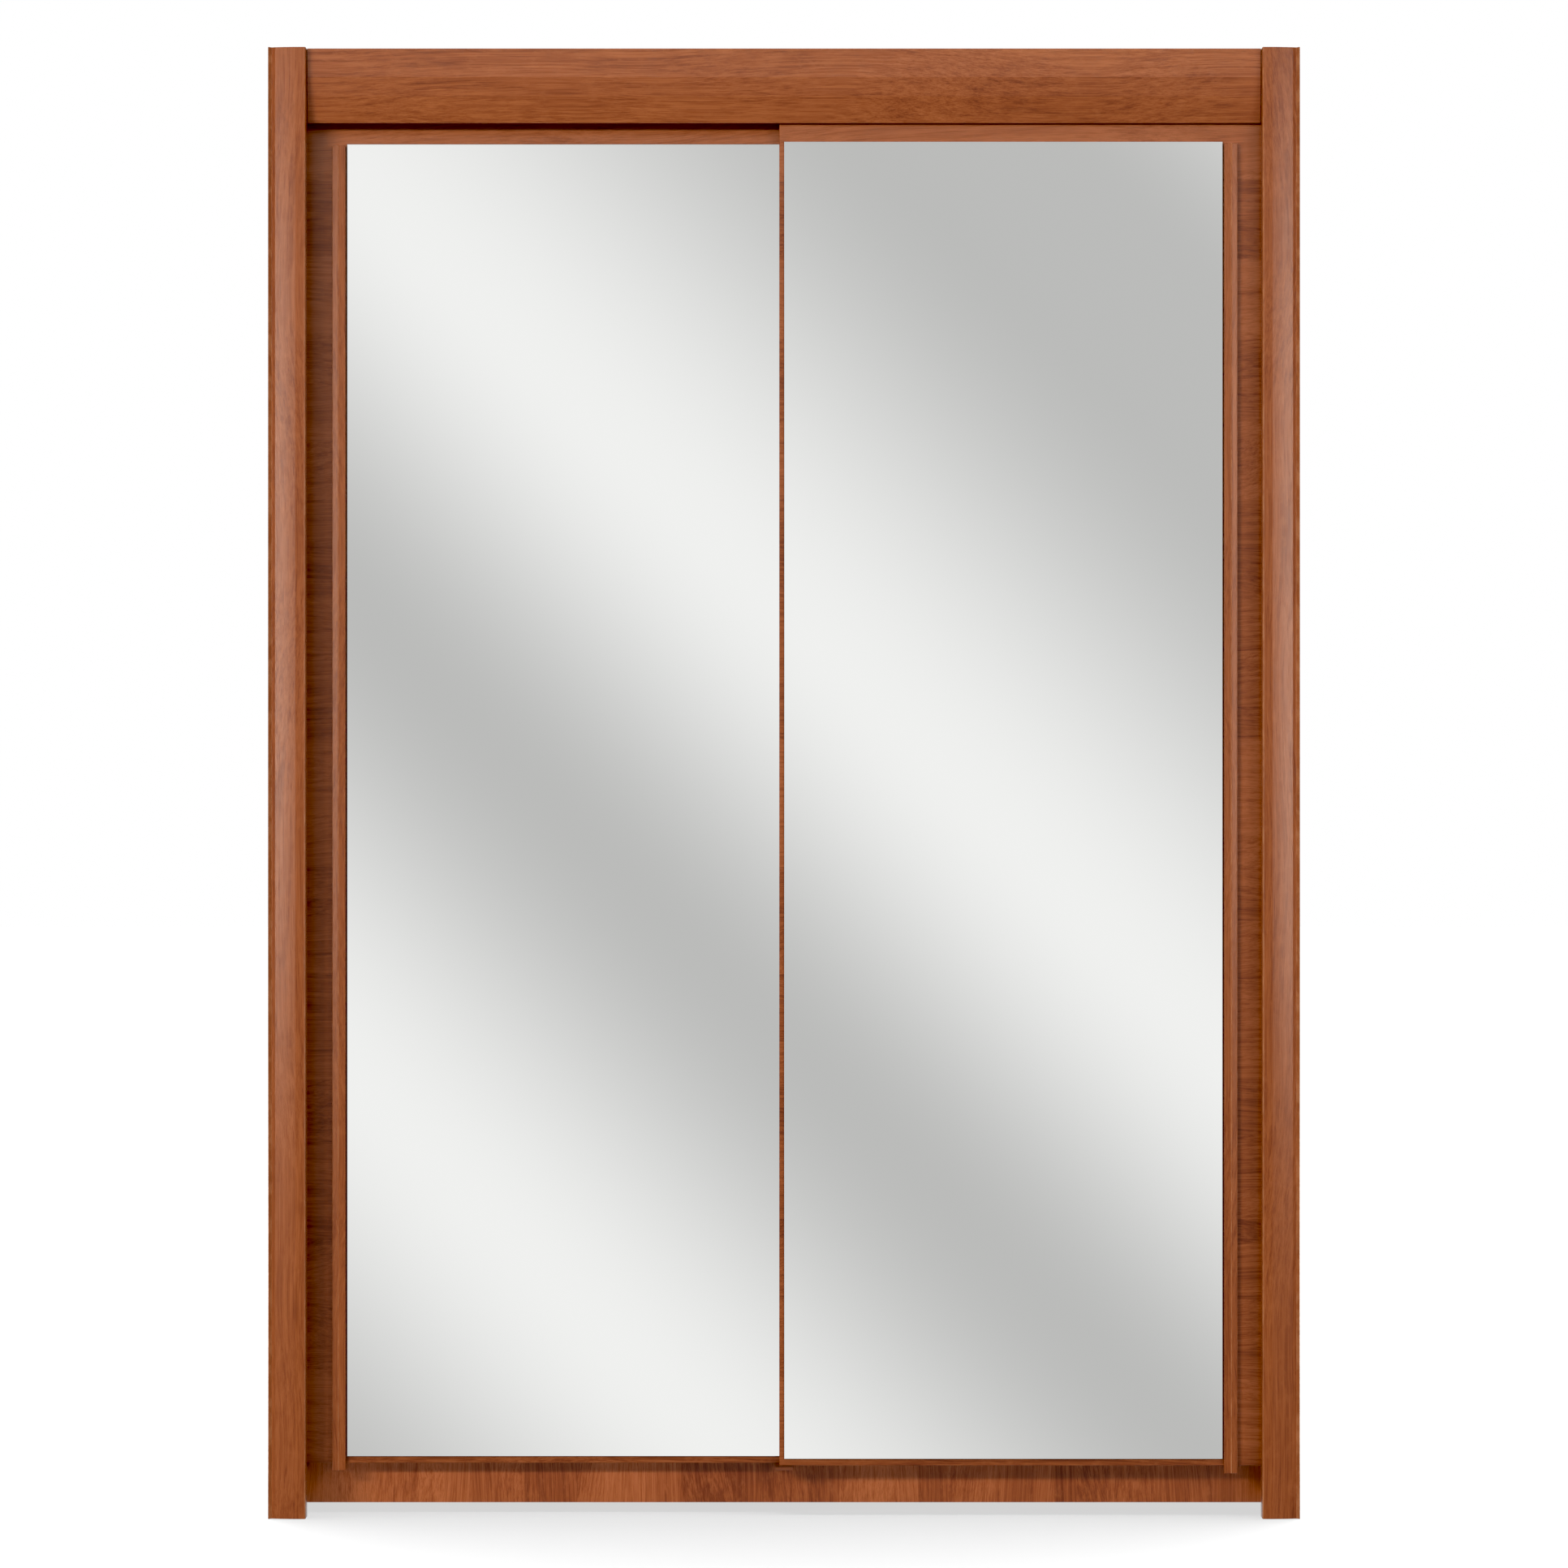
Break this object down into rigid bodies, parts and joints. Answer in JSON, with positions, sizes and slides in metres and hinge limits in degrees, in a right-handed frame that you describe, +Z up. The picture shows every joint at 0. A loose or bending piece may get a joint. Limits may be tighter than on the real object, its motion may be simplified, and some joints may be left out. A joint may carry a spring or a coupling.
{
  "type": "sliding door wardrobe",
  "caption": "Upright sliding door wardrobe: mirrored doors hang from a top track behind a frame of posts and fascia, with hanging bays and hat shelves inside.",
  "frame": {"origin": "on the floor, below the middle of the wardrobe's width and depth", "axes": "+Z up, +X to the right of someone who faces the doors, +Y from the doors to the back"},
  "size_m": [1.514, 0.65, 2.16],
  "materials": {
    "walnut_frame": "satin reddish walnut foil, grain along the moulding",
    "walnut_fascia": "satin reddish walnut foil, grain across",
    "walnut_side": "satin reddish walnut foil, upright grain",
    "walnut_door": "satin reddish walnut foil, grain across",
    "walnut_plinth": "satin dark walnut foil, upright grain",
    "inside_board": "matt melamine with a fine textile print",
    "back_board": "printed hardboard, matt",
    "mirror_glass": "silvered float glass with ground edges",
    "zinc_steel": "bright zinc plate",
    "chromed_steel": "polished",
    "aluminium_track": "satin anodised, drawn lengthways",
    "white_nylon": "moulded nylon",
    "dark_plastic": "moulded, fine texture"
  },
  "bodies": {
    "carcass": {"back_joining_strip": "dark_plastic", "back_panel_left": "back_board", "back_panel_right": "back_board", "bottom_panel": "inside_board", "centre_guide": "dark_plastic", "centre_partition": "inside_board", "door_left_stop_closed": "dark_plastic", "door_left_stop_open": "dark_plastic", "door_right_stop_closed": "dark_plastic", "door_right_stop_open": "dark_plastic", "end_guide_left": "dark_plastic", "end_guide_right": "dark_plastic", "fascia": "walnut_fascia", "fascia_angle": "zinc_steel", "glide_left_front": "dark_plastic", "glide_left_rear": "dark_plastic", "glide_right_front": "dark_plastic", "glide_right_rear": "dark_plastic", "hanging_rail_left": "chromed_steel", "hanging_rail_right": "chromed_steel", "hat_shelf_left": "inside_board", "hat_shelf_right": "inside_board", "plinth_front": "walnut_plinth", "plinth_rear": "walnut_plinth", "plinth_rib": "walnut_plinth", "post_angle_left": "zinc_steel", "post_angle_right": "zinc_steel", "post_left": "walnut_frame", "post_right": "walnut_frame", "rail_socket_left_inner": "chromed_steel", "rail_socket_left_outer": "chromed_steel", "rail_socket_right_inner": "chromed_steel", "rail_socket_right_outer": "chromed_steel", "shelf_pin_left_inner_front": "zinc_steel", "shelf_pin_left_inner_rear": "zinc_steel", "shelf_pin_left_outer_front": "zinc_steel", "shelf_pin_left_outer_rear": "zinc_steel", "shelf_pin_right_inner_front": "zinc_steel", "shelf_pin_right_inner_rear": "zinc_steel", "shelf_pin_right_outer_front": "zinc_steel", "shelf_pin_right_outer_rear": "zinc_steel", "side_panel_left": "walnut_side", "side_panel_right": "walnut_side", "top_panel": "inside_board", "top_track": "aluminium_track"},
    "door_left": {"door_left_grip": "walnut_frame", "door_left_hanger_inner": "zinc_steel", "door_left_hanger_outer": "zinc_steel", "door_left_mirror": "mirror_glass", "door_left_panel": "walnut_door"},
    "door_right": {"door_right_grip": "walnut_frame", "door_right_hanger_inner": "zinc_steel", "door_right_hanger_outer": "zinc_steel", "door_right_mirror": "mirror_glass", "door_right_panel": "walnut_door"},
    "door_left_wheels_outer": {"door_left_wheelset_outer": "white_nylon"},
    "door_left_wheels_inner": {"door_left_wheelset_inner": "white_nylon"},
    "door_right_wheels_outer": {"door_right_wheelset_outer": "white_nylon"},
    "door_right_wheels_inner": {"door_right_wheelset_inner": "white_nylon"}
  },
  "joints": [
    {"name": "door_left_slide", "type": "slide", "parent": "carcass", "child": "door_left", "axis": [1, 0, 0], "range_m": [0, 0.7]},
    {"name": "door_right_slide", "type": "slide", "parent": "carcass", "child": "door_right", "axis": [1, 0, 0], "range_m": [-0.7, 0]},
    {"name": "door_left_wheels_outer_spin", "type": "hinge", "parent": "door_left", "child": "door_left_wheels_outer", "pos_m": [-0.658, -0.2312, 2.101], "axis": [0, 1, 0], "continuous": true},
    {"name": "door_left_wheels_inner_spin", "type": "hinge", "parent": "door_left", "child": "door_left_wheels_inner", "pos_m": [-0.068, -0.2312, 2.101], "axis": [0, 1, 0], "continuous": true},
    {"name": "door_right_wheels_outer_spin", "type": "hinge", "parent": "door_right", "child": "door_right_wheels_outer", "pos_m": [0.658, -0.2632, 2.101], "axis": [0, 1, 0], "continuous": true},
    {"name": "door_right_wheels_inner_spin", "type": "hinge", "parent": "door_right", "child": "door_right_wheels_inner", "pos_m": [0.068, -0.2632, 2.101], "axis": [0, 1, 0], "continuous": true}
  ],
  "couplings": [
    {"joint": "door_left_wheels_outer_spin", "follows": "door_left_slide", "rad_per_m": 90.909},
    {"joint": "door_left_wheels_inner_spin", "follows": "door_left_slide", "rad_per_m": 90.909},
    {"joint": "door_right_wheels_outer_spin", "follows": "door_right_slide", "rad_per_m": 90.909},
    {"joint": "door_right_wheels_inner_spin", "follows": "door_right_slide", "rad_per_m": 90.909}
  ]
}
